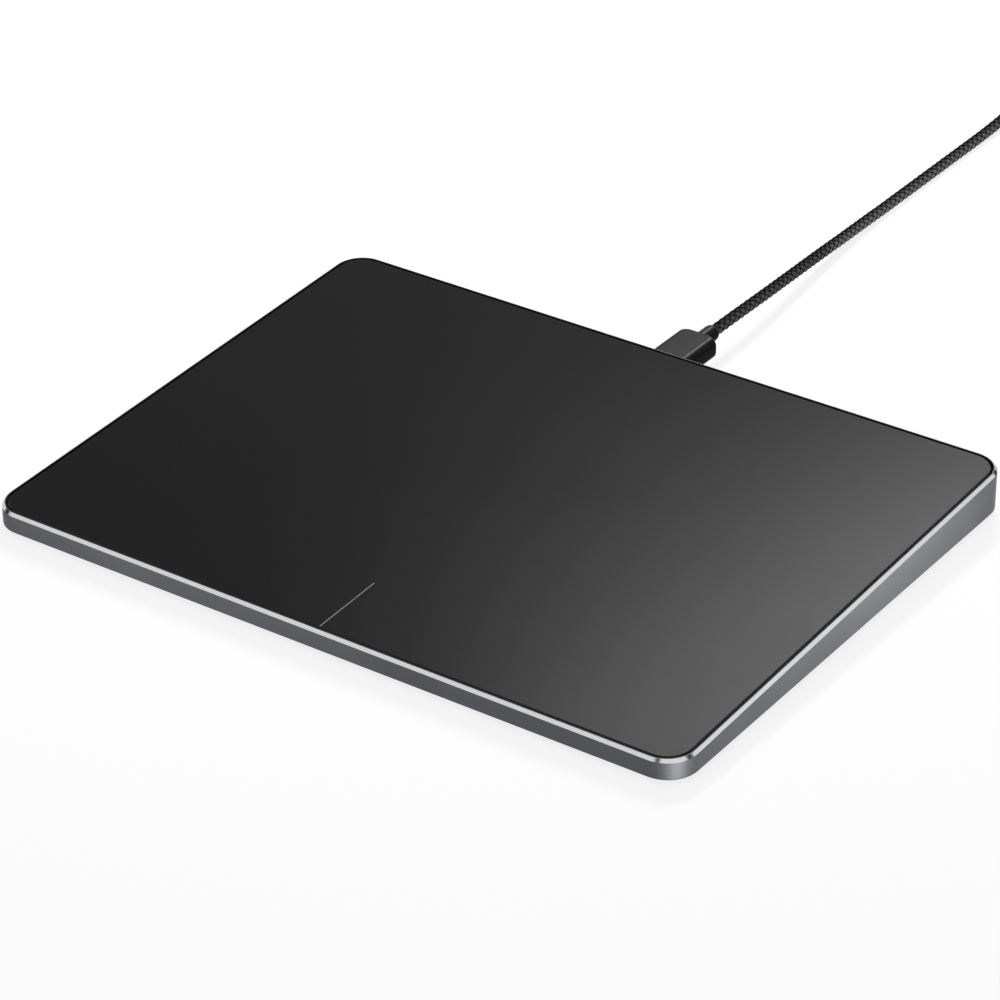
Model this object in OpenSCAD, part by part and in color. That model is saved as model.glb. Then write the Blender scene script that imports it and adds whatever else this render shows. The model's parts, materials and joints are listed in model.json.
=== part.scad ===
// Wired trackpad: a wedge of milled aluminium holding a glass touch plate that clicks.
// The plate hangs on two leaf hinges at the back and presses a switch at the front.
// Millimetres. X runs left to right, Y front to back, Z up from the desk, with the
// origin under the middle of the housing.

/* [Housing] */
// Width of the housing, left to right
housing_w = 160; // [140:1:190]
// Depth of the housing, front to back
housing_d = 120; // [105:1:140]
// Height of the front wall
front_h = 4.25; // [4.2:0.05:6]
// Height of the back wall
back_h = 9; // [8.8:0.1:12]
// Radius of the upright corners
corner_r = 6.5; // [6:0.25:8]
// Width of the bright chamfer round the deck
chamfer = 0.55; // [0.4:0.05:0.7]
// Flat rim between the chamfer and the glass opening
rim = 0.15; // [0.1:0.05:0.3]
// Thickness of the walls below the glass
wall = 2.2; // [2:0.1:2.6]
// Depth of the ledges that the leaf hinges screw to
ledge_d = 4; // [3.6:0.1:5]
// Thickness of the hinge ledges
ledge_t = 1.7; // [1.5:0.1:2]
// Radius of the bosses for the cover screws
boss_r = 4.6; // [4.3:0.1:5]
// Distance of those bosses from the outside of the walls
boss_inset = 6.2; // [6:0.1:6.6]

/* [Touch plate] */
// Thickness of the glass
glass_t = 0.8; // [0.6:0.05:1]
// Gap between the glass and the rim
glass_gap = 0.25; // [0.2:0.05:0.4]
// Width of the polished bevel along the glass edge
glass_bevel = 0.45; // [0.2:0.05:0.5]
// Room under the glass above the housing's inner step
under_gap = 0.45; // [0.4:0.05:0.6]
// Length of the printed line between the two click zones
line_len = 17; // [10:0.5:30]
// Width of the printed line
line_w = 0.2; // [0.15:0.05:0.6]
// Thickness of the ink of the printed line
line_t = 0.03; // [0.02:0.01:0.05]
// Distance of the printed line from the bevel at the front of the glass
line_inset = 0.15; // [0.05:0.05:3]
// Thickness of the film that bonds the glass to the board
film_t = 0.1; // [0.05:0.05:0.2]
// Thickness of the sensor board
board_t = 0.8; // [0.6:0.1:1]
// Room between the sensor board and the walls round it
board_gap = 0.5; // [0.4:0.1:0.8]
// Thickness of the steel carrier under the sensor board
carrier_t = 0.4; // [0.3:0.05:0.5]
// Width of the webs between the windows of the carrier
carrier_web = 7; // [5:0.5:10]

/* [Click mechanism] */
// Travel of the switch when the plate is pressed
click_travel = 0.25; // [0.15:0.05:0.3]
// Distance of the switch behind the front wall
switch_inset = 14; // [12:0.5:20]
// Side of the square switch case
switch_w = 4.5; // [4:0.1:6]
// Height of the switch case
switch_h = 0.8; // [0.7:0.05:0.9]
// Diameter of the switch plunger
plunger_d = 2; // [1.5:0.1:2.5]
// Thickness of the leaf hinges
leaf_t = 0.3; // [0.2:0.05:0.4]
// Width of each leaf hinge
leaf_w = 36; // [30:1:40]
// Length of each leaf hinge under the carrier
leaf_grip = 10; // [8:0.5:12]
// Width of the necks that bend
neck_w = 9; // [6:0.5:12]
// Distance of the hinge centres from the side walls
hinge_inset = 35; // [30:0.5:40]
// Width of the carrier's retaining tabs
tab_w = 10; // [6:0.5:14]
// Distance of the tabs from the side walls
tab_inset = 30; // [24:0.5:40]
// How far the tabs reach under the front step
tab_reach = 0.8; // [0.6:0.05:0.9]

/* [Bottom cover and feet] */
// Thickness of the bottom cover
cover_t = 1.2; // [1:0.05:1.3]
// Distance of the cover's recess from the outside of the walls
cover_inset = 1; // [0.8:0.1:1.2]
// Gap round the cover
cover_gap = 0.15; // [0.1:0.05:0.3]
// Thickness of the stiffening ribs inside the cover
rib_t = 0.8; // [0.6:0.1:1.2]
// Room between the ribs and the moving carrier
rib_room = 0.9; // [0.8:0.1:1.2]
// Height that the feet stand below the housing
foot_h = 1; // [0.8:0.1:1.5]
// Length of a foot
foot_w = 24; // [16:1:30]
// Width of a foot
foot_d = 8; // [6:0.5:10]
// Depth of the recesses that hold the feet
foot_recess = 0.4; // [0.3:0.05:0.5]
// Distance of the foot centres from the side walls
foot_inset_x = 28; // [26:1:36]
// Distance of the foot centres from the front and back walls
foot_inset_y = 10; // [9:0.5:12]
// Diameter of the cover screws
screw_d = 2; // [1.6:0.1:2.2]
// Diameter of the cover screw heads
screw_head_d = 3.8; // [3.4:0.1:4.2]
// Length of the cover screws
screw_len = 2.6; // [2.4:0.1:2.7]

/* [Port and main board] */
// Distance of the port's centre below the back edge of the deck
port_drop = 3.6; // [3.5:0.05:4]
// Width of the port shell
port_w = 8.94; // [8.9:0.02:9.1]
// Height of the port shell
port_h = 3.26; // [3.2:0.02:3.4]
// Depth of the port shell
port_d = 7.3; // [6.8:0.1:8]
// Thickness of the port shell
port_t = 0.3; // [0.2:0.02:0.3]
// Thickness of the housing wall in front of the port
port_wall = 0.9; // [0.7:0.1:1.1]
// Width of the main board
main_w = 32; // [28:1:36]
// Depth of the main board
main_d = 17; // [16:0.5:20]
// Thickness of the main board
main_t = 0.8; // [0.6:0.1:1]
// Distance of the board posts from the middle
post_x = 12.5; // [10:0.5:13]
// Diameter of the board posts
post_d = 4.4; // [4:0.2:5]
// Diameter of the small screws of the board and hinges
small_screw_d = 1.4; // [1.2:0.1:1.6]
// Diameter of the small screw heads
small_head_d = 2.6; // [2.4:0.1:2.8]
// Height of the small screw heads
small_head_h = 0.5; // [0.4:0.05:0.6]
// Width of the ribbon cable
ribbon_w = 8; // [6:0.5:9]
// Thickness of the ribbon cable
ribbon_t = 0.2; // [0.1:0.05:0.25]
// Height of the ribbon connectors
connector_h = 1.1; // [1:0.05:1.1]
// Depth of the ribbon connectors
connector_d = 3.4; // [3:0.1:4]

/* [Cable plug] */
// Width of the metal tongue of the plug
tongue_w = 8.25; // [8.1:0.01:8.25]
// Height of the metal tongue
tongue_h = 2.4; // [2.3:0.02:2.4]
// Length of the metal tongue outside the moulding
tongue_len = 6.65; // [6:0.05:6.7]
// Thickness of the metal tongue's wall
tongue_t = 0.35; // [0.25:0.05:0.4]
// Width of the moulded plug body
plug_w = 9.4; // [9.2:0.1:12]
// Height of the moulded plug body
plug_h = 4.8; // [4.6:0.1:6]
// Length of the moulded plug body
plug_len = 12.5; // [12:0.5:20]
// Edge radius of the moulded plug body
plug_r = 1.7; // [1.2:0.1:2.2]
// Radius of the moulded plug body's rear corners, seen from above
plug_corner_r = 1; // [0.8:0.1:1.7]
// Gap between the plug body and the back wall
plug_gap = 0.3; // [0.2:0.05:0.4]
// Diameter of the strain relief collar
collar_d = 3.6; // [3.2:0.1:4.4]
// Length of the strain relief collar
collar_len = 5.4; // [4:0.1:10]

/* [Cord and end plug] */
// Diameter of the braided cord
cord_d = 2.5; // [2.3:0.05:2.5]
// Radius of the outer loops of the stored coil, at the cord's centre
coil_outer_r = 20.6; // [20:0.1:21]
// Spacing of the loops side by side
coil_pitch = 3; // [2.95:0.05:3.05]
// Spacing of the layers of loops
coil_rise = 2.95; // [2.95:0.05:3.1]
// Width of the coil ties
tie_w = 6; // [4:0.5:6]
// Thickness of the coil ties
tie_t = 0.8; // [0.5:0.1:1]
// Width of the end plug's metal shell
end_shell_w = 12; // [11.8:0.1:12.2]
// Height of the end plug's metal shell
end_shell_h = 4.5; // [4.4:0.1:4.6]
// Length of the end plug's metal shell outside the moulding
end_shell_len = 18.75; // [17:0.25:20]
// Thickness of the end plug's metal shell
end_shell_t = 0.3; // [0.2:0.05:0.4]
// Thickness of the contact tongue in the end plug
end_tongue_t = 1.9; // [1.7:0.1:2]
// Width of the end plug's moulding
end_body_w = 15.4; // [14.5:0.1:17]
// Height of the end plug's moulding
end_body_h = 7.6; // [7.4:0.1:8]
// Length of the end plug's moulding
end_body_len = 21; // [18:0.5:26]
// Diameter of the end plug's strain relief collar
end_collar_d = 4.6; // [4:0.1:5.4]
// Length of the end plug's strain relief collar
end_collar_len = 8; // [6:0.5:12]

/* [Hidden] */
$fn = 64;

// Overlap of solids that merge, overrun of cuts, and the clearances of fitted pieces
eps = 0.01;
cut = 1;
close = 0.1;
easy = 0.2;
loose = 0.4;

// Deck: the sloping plane of the glass and rim, with its own coordinates u, v, w
slope = atan((back_h - front_h) / housing_d);
deck_d = housing_d / cos(slope);
deck_mid_z = foot_h + (front_h + back_h) / 2;

// Layers below the deck, as depths along its normal
pocket = glass_t + under_gap;
film_top = -glass_t;
board_top = film_top - film_t;
carrier_top = board_top - board_t;
carrier_under = carrier_top - carrier_t;

// Outlines in the deck plane; the chamfer's corners are a hair rounder than the walls'
seam = 0.05;
opening_inset = chamfer + rim;
glass_inset = opening_inset + glass_gap;
inner_v = deck_d / 2 - wall;
board_w = housing_w - 2 * (wall + board_gap);
board_front = -inner_v + board_gap;
board_back = inner_v - ledge_d - board_gap;
board_r = corner_r - wall;
boss_cut_r = boss_r + board_gap;
notch_room = 2;
notch_w = port_w + 2 * notch_room;
notch_d = ledge_d;

// Leaf hinges: an S bend drops from the carrier to the underside of the ledge
ledge_under = -pocket - ledge_t;
ledge_hole = ledge_t - loose;
ledge_end = 1;
hinge_x = housing_w / 2 - hinge_inset;
leaf_drop = carrier_under - ledge_under;
bend_r = leaf_drop / 2;
axis_v = inner_v - ledge_d - leaf_drop - close;
axis_w = carrier_under - leaf_t / 2 - bend_r;
leaf_front = axis_v - leaf_grip;
leaf_back = inner_v - loose;
leaf_screw_edge = 5;
leaf_screw_x = leaf_w / 2 - leaf_screw_edge;
front_screw_v = axis_v - leaf_grip / 2;
back_screw_v = inner_v - ledge_d / 2 + close;

// Switch and its stop
switch_v = -housing_d / 2 + switch_inset;
case_under = carrier_top - switch_h;
switch_roof = 0.15;
tip_w = case_under - click_travel - close;
anvil_rim = 1.5;
front_drop = click_travel * (axis_v + deck_d / 2) / (axis_v - switch_v);

// Retaining tabs of the carrier
tab_x = housing_w / 2 - tab_inset;
stop_gap = 0.02;

// Heights above the desk
shell_z = foot_h;
cover_top = shell_z + cover_t;
port_z = foot_h + back_h - port_drop;
main_top = port_z - port_h / 2;

// Main board, behind the ribbon window and in front of the back wall
back_y = housing_d / 2;
main_back = back_y - wall - board_gap;
main_front = main_back - main_d;
post_y = main_back - main_d / 2;
post_bite = 1.6;
port_back = back_y - port_wall - port_d;
port_room = 0.3;
port_block_d = port_d + port_wall + plug_gap - tongue_len - close;
port_blade = [6.7, 0.7];
port_blade_gap = 0.8;
control_spot = [-6, -0.5];
control_size = [5, 5, 0.9];
coil_part_spot = [7, 4];
coil_part_size = [3.2, 2.5, 0.8];
row_spot = [3, -1];
row_pitch = 1.6;
row_part_size = [0.5, 1, 0.5];

// Cover screws: four corners and the middle of each side
boss_x = housing_w / 2 - boss_inset;
boss_y = housing_d / 2 - boss_inset;
boss_spots = [for (x = [-1, 1], y = [-1, 0, 1]) [x * boss_x, y * boss_y]];
head_h = cover_t * 3 / 4;
head_sink = 0.05;
cross_w = 0.4;
cross_deep = 0.45;
foot_lean = 0.4;

// Ribbon between the two boards, and the window of the carrier that it passes through
connector_end = 1.5;
connector_w = ribbon_w + 2 * connector_end;
slot_end = 0.5;
ribbon_reach = 2.5;
ribbon_y = main_front + connector_d / 2 + board_gap;
ribbon_low = main_top + connector_h / 2;
ribbon_high = deck_z(ribbon_y) + (carrier_top - connector_h / 2) / cos(slope);
ribbon_r = (ribbon_high - ribbon_low) / 2;
ribbon_bend_y = main_front - ribbon_reach;
window_room = 1.5;
window_w = connector_w + 2 * window_room;
window_front = ribbon_bend_y - ribbon_r - window_room;
window_back = ribbon_y + connector_d / 2 + window_room;

// Windows that lighten the carrier, in columns and rows behind the switch
columns = 4;
rows = 2;
panes_front = switch_v + switch_w;
panes_w = board_w - 3 * carrier_web;
pane_step_x = (panes_w + carrier_web) / columns;
pane_step_v = (window_front + carrier_web / 2 - panes_front) / rows;
pane_r = 0.4 * carrier_web;

// Chips under the sensor board, inside a pane of the carrier
chip_x = pane_step_x / 2;
chip_v = panes_front + 1.5 * pane_step_v - carrier_web / 2;
chip_size = [7, 7, 0.9];
chip_part_size = [1, 0.5, 0.5];
chip_part_pitch = 2.2;
chip_part_gap = 2.5;

// Ribs of the cover: shares of the hinge spacing, and of the way back from the switch
rib_columns = [-1, -0.5, 0.5, 1];
rib_rows = [0.3, 0.65];
rib_front = switch_v + switch_w;
rib_back = window_front - window_room;

// Plug, measured from the back wall
plug_front = back_y + plug_gap;
plug_back = plug_front + plug_len;
cord_start = plug_back + collar_len;
collar_soft = 0.5;
seat_d = 2;

// Coil: loops spiral in and out in four layers, climbing where the spiral turns back.
// It rests on the straps that tie it, and the cord leaves it at 45 degrees
coil_loops = 13.375;
coil_layers = 4;
loops_per_layer = coil_loops / coil_layers;
climb_turns = 0.5;
rings_per_loop = 24;
run_sides = 8;
coil_sides = 6;
floor_gap = 0.05;
lying_z = 1.3;
coil_z = tie_t + cord_d / 2 + floor_gap;
tie_room = 0.25;
tie_angles = [112, 292];

// Cord route: x, distance behind the back wall, height above the desk
cord_bend_d = 5.5;
cord_route = [
    [0, cord_start - back_y, port_z], [0, cord_start - back_y + cord_bend_d, port_z],
    [-0.2, 33, 6.1], [-0.6, 41, 5.6], [-1.2, 49, 4.95], [-1.9, 57, 4.2], [-2.6, 65, 3.45],
    [-3.2, 73, 2.75], [-3.7, 81, 2.15], [-4.1, 89, 1.7], [-4.3, 97, 1.4], [-4.4, 104, lying_z],
    [-4.4, 111, lying_z], [-4.4, 118, lying_z], [-4.4, 125, lying_z], [-4.4, 132, lying_z],
    [-4.4, 139, lying_z], [-4.4, 146, 1.4], [-4.4, 153, 1.7], [-4.4, 159, coil_z - 0.1],
    [-4.4, 164, coil_z], [-4.4, 167.5, coil_z]
];
cord_points = [for (p = cord_route) [p[0], back_y + p[1], p[2]]];
cord_end = cord_points[len(cord_points) - 1];

coil_x = cord_end[0] + coil_outer_r;
coil_y = cord_end[1] + cord_d;
coil_steps = round(coil_loops * rings_per_loop);
leave_angle = 180 - 360 * coil_loops;
leave_dir = [sin(leave_angle), -cos(leave_angle), 0];
coil_turns = [for (i = [0 : coil_steps]) coil_point(i / rings_per_loop)];
coil_last = coil_turns[coil_steps];
coil_points = concat([cord_end], coil_turns, [coil_last + cord_d * leave_dir]);
coil_top = coil_last[2];

// Tail: distance along its own line from the coil, height above the desk
end_z = end_body_h / 2;
tail_route = [
    [cord_d, coil_top], [6, coil_top - 0.1], [11, 10], [16, 8.6], [21, 7], [26, 5.5],
    [31, 4.4], [36, end_z], [40, end_z]
];
tail_points = [for (p = tail_route) [0, p[0], p[1]]];
end_collar_y = tail_route[len(tail_route) - 1][0];
end_body_y = end_collar_y + end_collar_len;
end_nose_y = end_body_y + end_body_len;
end_edge_r = 2;
end_corner_r = 3;
end_fold_r = 0.4;
end_window = [2.3, 2];
end_window_y = 8.5;

function deck_z(y) = deck_mid_z + y * tan(slope);
function smooth(t) = let (s = min(1, max(0, t))) s * s * (3 - 2 * s);
function sum(list, i = 0) = i < len(list) ? list[i] + sum(list, i + 1) : 0;
function unit(v) = v / norm(v);

// Share of the way in from the outer to the inner loop, and layers climbed, after t turns
function coil_in(t) = let (q = t / loops_per_layer) 1 - abs(1 - (q - 2 * floor(q / 2)));
function coil_lift(t) = sum([for (k = [1 : coil_layers - 1])
    smooth((t - k * loops_per_layer) / climb_turns + 0.5)]);
function coil_point(t) = let (
        r = coil_outer_r - coil_in(t) * coil_pitch * loops_per_layer,
        a = 180 - 360 * t
    ) [coil_x + r * cos(a), coil_y + r * sin(a), coil_z + coil_rise * coil_lift(t)];

function length_of(p) = sum([for (i = [1 : len(p) - 1]) norm(p[i] - p[i - 1])]);
function self_gap(p, skip) = min([for (i = [0 : len(p) - 1 - skip], j = [i + skip : len(p) - 1])
    norm(p[i] - p[j])]) - cord_d;

echo(coil_self_gap = self_gap(coil_points, rings_per_loop / 2));
echo(cord_length = length_of(cord_points) + length_of(coil_points) + length_of(tail_points));
echo(hinge_axis_y = axis_v * cos(slope) - axis_w * sin(slope));
echo(hinge_axis_z = deck_mid_z + axis_v * sin(slope) + axis_w * cos(slope));
echo(click_angle = atan(click_travel / (axis_v - switch_v)));

// Shapes that repeat

module on_deck() translate([0, 0, deck_mid_z]) rotate([slope, 0, 0]) children();

module corners(w, d) for (x = [-1, 1], y = [-1, 1]) translate([x * w / 2, y * d / 2]) children();

module rounded_sheet(w, d, r) {
    square([w - 2 * r, d], center = true);
    square([w, d - 2 * r], center = true);
    corners(w - 2 * r, d - 2 * r) circle(r);
}

// A sheet with round ends
module slot_sheet(w, h) rounded_sheet(w, h, h / 2 - 2 * eps);

// A rounded sheet whose edges stand upright below zero over skirt, and lean in above it over h
module leaning_sheet(w, d, r, h, lean, skirt) {
    rotate([90, 0, 90]) linear_extrude(w - 2 * r, center = true)
        polygon([[-d / 2, -skirt], [d / 2, -skirt], [d / 2, 0], [d / 2 - lean, h],
            [lean - d / 2, h], [-d / 2, 0]]);
    rotate([90, 0, 0]) linear_extrude(d - 2 * r, center = true)
        polygon([[-w / 2, -skirt], [w / 2, -skirt], [w / 2, 0], [w / 2 - lean, h],
            [lean - w / 2, h], [-w / 2, 0]]);
    for (q = [0 : 3]) {
        x = (q == 0 || q == 3) ? 1 : -1;
        y = q < 2 ? 1 : -1;
        translate([x * (w / 2 - r), y * (d / 2 - r), 0]) rotate([0, 0, 90 * q])
            rotate_extrude(angle = 90)
                polygon([[0, -skirt], [r, -skirt], [r, 0], [r - lean, h], [0, h]]);
    }
}

// Draws an outline of width and height as a bar along Y, from y0 to y1 at height z
module bar(y0, y1, z) translate([0, y1, z]) rotate([90, 0, 0]) linear_extrude(y1 - y0) children();

module small_screw(len) {
    mirror([0, 0, 1]) cylinder(d = small_head_d, h = small_head_h);
    cylinder(d = small_screw_d, h = len);
}

// A round cord: rings of n sides swept along points, closed at both ends
function heading(p, i) = unit(p[min(i + 1, len(p) - 1)] - p[max(i - 1, 0)]);
function ring(p, i, n) = let (
        t = heading(p, i),
        side = unit(cross(t, [0, 0, 1])),
        up = cross(side, t)
    ) [for (k = [0 : n - 1]) let (a = 360 * (k + 0.5) / n)
        p[i] + cord_d / 2 * (cos(a) * side + sin(a) * up)];

module cord_tube(p, n) {
    last = (len(p) - 1) * n;
    walls = [for (i = [0 : len(p) - 2], k = [0 : n - 1])
        let (a = i * n + k, b = i * n + (k + 1) % n) each [[a, a + n, b], [b, a + n, b + n]]];
    start = [for (k = [1 : n - 2]) [0, k, k + 1]];
    end = [for (k = [1 : n - 2]) [last, last + k + 1, last + k]];
    polyhedron([for (i = [0 : len(p) - 1]) each ring(p, i, n)], concat(walls, start, end));
}

// Housing

module wedge() intersection() {
    reach = back_h + cut;
    translate([0, 0, shell_z]) linear_extrude(reach) rounded_sheet(housing_w, housing_d, corner_r);
    on_deck() translate([0, 0, -reach])
        leaning_sheet(housing_w - 2 * chamfer + 2 * reach, deck_d - 2 * chamfer + 2 * reach,
            corner_r + seam - chamfer + reach, reach, reach, cut);
}

module hinge_ledges() for (x = [-hinge_x, hinge_x])
    translate([x - leaf_w / 2 - ledge_end, inner_v - ledge_d, ledge_under])
        cube([leaf_w + 2 * ledge_end, ledge_d + cut, ledge_t + pocket]);

module inner_space() difference() {
    translate([0, 0, shell_z - cut]) linear_extrude(back_h + 3 * cut) difference() {
        rounded_sheet(housing_w - 2 * wall, housing_d - 2 * wall, corner_r - wall);
        for (p = boss_spots) translate(p) circle(boss_r);
    }
    on_deck() hinge_ledges();
}

module port_opening() {
    bar(back_y - port_wall - cut, back_y + cut, port_z)
        slot_sheet(tongue_w + 2 * port_room, tongue_h + 2 * port_room);
    bar(back_y - wall - cut, back_y - port_wall, port_z) slot_sheet(port_w + loose, port_h + loose);
}

module back_screw_spots() for (x = [-hinge_x, hinge_x], s = [-leaf_screw_x, leaf_screw_x])
    translate([x + s, back_screw_v]) children();

// Slots in the front wall that hold the carrier's tabs down and leave them room to click
module tab_slots() for (x = [-tab_x, tab_x])
    translate([x - tab_w / 2 - loose, -inner_v - tab_reach - easy, carrier_under - front_drop - easy])
        cube([tab_w + 2 * loose, tab_reach + easy + cut, carrier_t + front_drop + easy + stop_gap]);

module housing() color("#61646b") difference() {
    wedge();
    on_deck() translate([0, 0, -pocket]) linear_extrude(pocket + cut)
        rounded_sheet(housing_w - 2 * opening_inset, deck_d - 2 * opening_inset,
            corner_r - opening_inset);
    inner_space();
    translate([0, 0, shell_z - cut]) linear_extrude(cover_t + cut)
        rounded_sheet(housing_w - 2 * cover_inset, housing_d - 2 * cover_inset, corner_r - cover_inset);
    for (p = boss_spots) translate([p[0], p[1], cover_top - cut])
        cylinder(d = screw_d + close, h = screw_len - cover_t + easy + cut);
    on_deck() translate([0, 0, ledge_under - cut]) back_screw_spots()
        cylinder(d = small_screw_d + close, h = ledge_hole + cut);
    on_deck() tab_slots();
    port_opening();
}

module bottom_cover() color("#1d1d1f") difference() {
    union() {
        translate([0, 0, shell_z]) linear_extrude(cover_t)
            rounded_sheet(housing_w - 2 * (cover_inset + cover_gap),
                housing_d - 2 * (cover_inset + cover_gap), corner_r - cover_inset - cover_gap);
        cover_ribs();
        on_deck() translate([0, switch_v, tip_w]) mirror([0, 0, 1]) cylinder(
            d = plunger_d + 2 * anvil_rim, h = deck_z(switch_v) + tip_w - cover_top + cover_t / 2);
        for (x = [-post_x, post_x]) translate([x, post_y, cover_top - eps])
            cylinder(d = post_d, h = main_top - main_t - cover_top + eps);
    }
    for (p = boss_spots) translate([p[0], p[1], shell_z - eps]) {
        cylinder(d1 = screw_head_d + easy, d2 = screw_d + easy, h = head_h);
        cylinder(d = screw_d + easy, h = cover_t + cut);
    }
    foot_places() translate([0, 0, shell_z - cut]) linear_extrude(foot_recess + cut)
        slot_sheet(foot_w + easy, foot_d + easy);
    for (x = [-post_x, post_x]) translate([x, post_y, shell_z + cover_t / 2])
        cylinder(d = small_screw_d + close, h = back_h);
}

// Ribs stand up to a plane just below the moving carrier
module cover_ribs() intersection() {
    translate([0, 0, cover_top - eps]) linear_extrude(back_h) {
        for (x = rib_columns) translate([x * hinge_x - rib_t / 2, rib_front])
            square([rib_t, rib_back - rib_front]);
        for (y = rib_rows) translate([-hinge_x, rib_front + y * (rib_back - rib_front)])
            square([2 * hinge_x, rib_t]);
    }
    on_deck() translate([-housing_w / 2, -deck_d / 2, carrier_under - rib_room - back_h])
        cube([housing_w, deck_d, back_h]);
}

module foot_places() corners(housing_w - 2 * foot_inset_x, housing_d - 2 * foot_inset_y) children();

module rubber_feet() color("#141414") foot_places() {
    mirror([0, 0, 1]) translate([0, 0, -foot_h / 2])
        leaning_sheet(foot_w, foot_d, foot_d / 2 - 2 * eps, foot_h / 2, foot_lean);
    translate([0, 0, foot_h / 2]) linear_extrude(foot_h / 2 + foot_recess) slot_sheet(foot_w, foot_d);
}

module cover_screws() color("#2b2b2e") for (p = boss_spots)
    translate([p[0], p[1], shell_z + head_sink]) difference() {
        union() {
            cylinder(d1 = screw_head_d, d2 = screw_d, h = head_h);
            cylinder(d = screw_d, h = screw_len);
        }
        for (a = [0, 90]) rotate([0, 0, a]) cube([screw_d, cross_w, 2 * cross_deep], center = true);
    }

// Touch plate

module touch_glass() color("#26272a") on_deck() {
    w = housing_w - 2 * glass_inset;
    d = deck_d - 2 * glass_inset;
    translate([0, 0, -glass_bevel])
        leaning_sheet(w, d, corner_r - glass_inset, glass_bevel, glass_bevel, glass_t - glass_bevel);
}

module divider_line() color("#d8d8d8") on_deck()
    translate([-line_w / 2, glass_inset + glass_bevel + line_inset - deck_d / 2, 0])
        cube([line_w, line_len, line_t]);

// Outline of what lies under the glass: clear of the bosses and of the port
module board_outline() difference() {
    translate([0, (board_front + board_back) / 2])
        rounded_sheet(board_w, board_back - board_front, board_r);
    for (p = boss_spots) translate([p[0], p[1] / cos(slope)]) circle(boss_cut_r);
    translate([-notch_w / 2, board_back - notch_d]) square([notch_w, notch_d + cut]);
}

module front_screw_spots() for (x = [-hinge_x, hinge_x], s = [-leaf_screw_x, leaf_screw_x])
    translate([x + s, front_screw_v]) children();

module bond_film() color("#c9c2a0") on_deck() translate([0, 0, board_top])
    linear_extrude(film_t) board_outline();

module sensor_board() color("#1f5f3a") on_deck() translate([0, 0, carrier_top])
    linear_extrude(board_t) difference() {
        board_outline();
        front_screw_spots() circle(d = small_screw_d + loose);
    }

module carrier_panes() for (i = [0 : columns - 1], j = [0 : rows - 1])
    translate([(i - (columns - 1) / 2) * pane_step_x,
        panes_front + (j + 0.5) * pane_step_v - carrier_web / 4])
        rounded_sheet(pane_step_x - carrier_web, pane_step_v - carrier_web, pane_r);

module carrier_outline() difference() {
    union() {
        board_outline();
        for (x = [-tab_x, tab_x]) translate([x - tab_w / 2, -inner_v - tab_reach])
            square([tab_w, tab_reach + board_gap + cut]);
    }
    carrier_panes();
    translate([0, switch_v]) square(switch_w + 2 * loose, center = true);
    translate([-window_w / 2, window_front]) square([window_w, window_back - window_front]);
    front_screw_spots() circle(d = small_screw_d + close);
}

module pad_carrier() color("#b5b8bc") on_deck() translate([0, 0, carrier_under])
    linear_extrude(carrier_t) carrier_outline();

// Parts hang below the sensor board
module under_board(x, v, size) on_deck() translate([x, v, carrier_top - size[2] / 2])
    cube(size, center = true);

module touch_chip() color("#202022") under_board(chip_x, chip_v, chip_size);

module sensor_parts() color("#8a7a5c") for (i = [-2 : 2], s = [-1, 1])
    under_board(chip_x + i * chip_part_pitch, chip_v + s * (chip_size[1] / 2 + chip_part_gap),
        chip_part_size);

module ribbon_slot(z) translate([0, ribbon_y - slot_end - connector_d, z])
    cube([ribbon_w + easy, 2 * connector_d, ribbon_t + easy], center = true);

module sensor_connector() color("#e6e2d6") difference() {
    under_board(0, ribbon_y / cos(slope), [connector_w, connector_d, connector_h]);
    ribbon_slot(ribbon_high);
}

module switch_case() color("#3a3a3c") on_deck() difference() {
    translate([0, switch_v, carrier_top - switch_h / 2])
        cube([switch_w, switch_w, switch_h], center = true);
    translate([0, switch_v, case_under - cut])
        cylinder(d = plunger_d + loose, h = switch_h - switch_roof + cut);
}

module switch_plunger() color("#b9342c") on_deck() translate([0, switch_v, tip_w])
    cylinder(d = plunger_d, h = switch_h - easy);

// Leaf hinges

module leaf_bar(v0, v1, w) translate([v0, w]) square([v1 - v0, leaf_t]);

module leaf_bend() {
    intersection() {
        translate([axis_v, axis_w]) difference() {
            circle(bend_r + leaf_t / 2);
            circle(bend_r - leaf_t / 2);
        }
        translate([axis_v, axis_w]) square(2 * bend_r);
    }
    intersection() {
        translate([axis_v + 2 * bend_r, axis_w]) difference() {
            circle(bend_r + leaf_t / 2);
            circle(bend_r - leaf_t / 2);
        }
        translate([axis_v, axis_w - 2 * bend_r]) square(2 * bend_r);
    }
}

// Extrudes a profile of v and w along the width of the deck
module across(x, w) translate([x - w / 2, 0, 0]) rotate([90, 0, 90]) linear_extrude(w) children();

module hinge_leaves() color("#c8cacd") on_deck() difference() {
    for (x = [-hinge_x, hinge_x]) {
        across(x, leaf_w) leaf_bar(leaf_front, axis_v, carrier_under - leaf_t);
        across(x, leaf_w) leaf_bar(axis_v + 2 * bend_r, leaf_back, ledge_under - leaf_t);
        for (s = [-1, 1]) across(x + s * (leaf_w - neck_w) / 2, neck_w) leaf_bend();
    }
    translate([0, 0, carrier_under - leaf_t - cut]) linear_extrude(leaf_t + 2 * cut)
        front_screw_spots() circle(d = small_screw_d + close);
    translate([0, 0, ledge_under - leaf_t - cut]) linear_extrude(leaf_t + 2 * cut)
        back_screw_spots() circle(d = small_screw_d + close);
}

module hinge_screws() color("#2b2b2e") on_deck() translate([0, 0, ledge_under - leaf_t])
    back_screw_spots() small_screw(leaf_t + ledge_hole - close);

module carrier_screws() color("#2b2b2e") on_deck() translate([0, 0, carrier_under - leaf_t])
    front_screw_spots() small_screw(leaf_t + carrier_t + board_t / 2);

// Main board and port

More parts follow.
